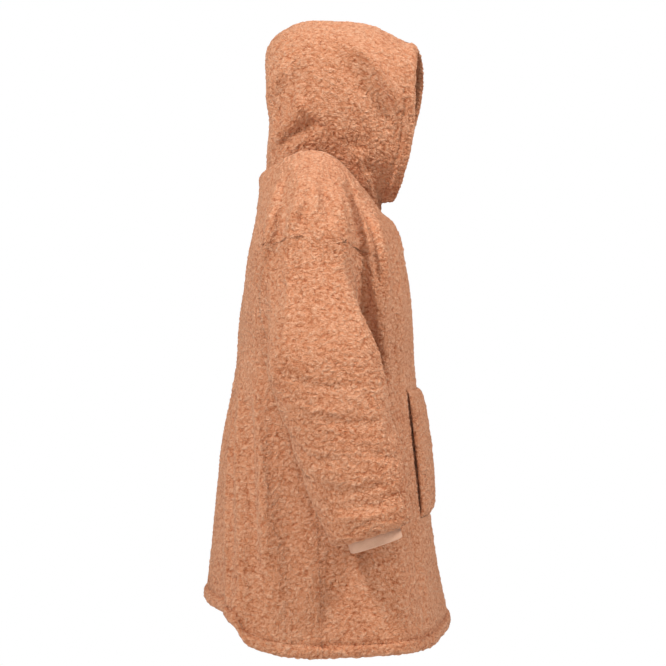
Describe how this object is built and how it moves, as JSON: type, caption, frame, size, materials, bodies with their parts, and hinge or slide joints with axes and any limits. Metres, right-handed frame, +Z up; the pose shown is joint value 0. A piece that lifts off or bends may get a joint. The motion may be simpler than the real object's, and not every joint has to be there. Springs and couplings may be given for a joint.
{
  "type": "hooded sherpa blanket hoodie",
  "caption": "Oversized knee-length hooded fleece pullover, worn shape with hollow body, sleeves and hood, pouch pocket on the front.",
  "frame": {"origin": "between the wearer's shoulders at the base of the neck, where the wearer holds the garment up", "axes": "+Z up, -Y to the garment's front, +X to the wearer's left"},
  "size_m": [0.812, 0.4911, 1.2157],
  "materials": {
    "sherpa_fleece": "curly sherpa pile, matt with a soft sheen",
    "knit_cuff": "smooth fine knit, matt"
  },
  "bodies": {
    "root": {"front_low": "sherpa_fleece", "front_middle": "sherpa_fleece", "front_chest": "sherpa_fleece", "front_top": "sherpa_fleece", "back_low": "sherpa_fleece", "back_middle": "sherpa_fleece", "back_chest": "sherpa_fleece", "back_top": "sherpa_fleece", "sleeve_right_upper": "sherpa_fleece", "sleeve_right_lower": "sherpa_fleece", "sleeve_left_upper": "sherpa_fleece", "sleeve_left_lower": "sherpa_fleece", "cuff_right": "knit_cuff", "cuff_left": "knit_cuff", "hood_right": "sherpa_fleece", "hood_left": "sherpa_fleece", "pocket": "sherpa_fleece"}
  },
  "joints": []
}
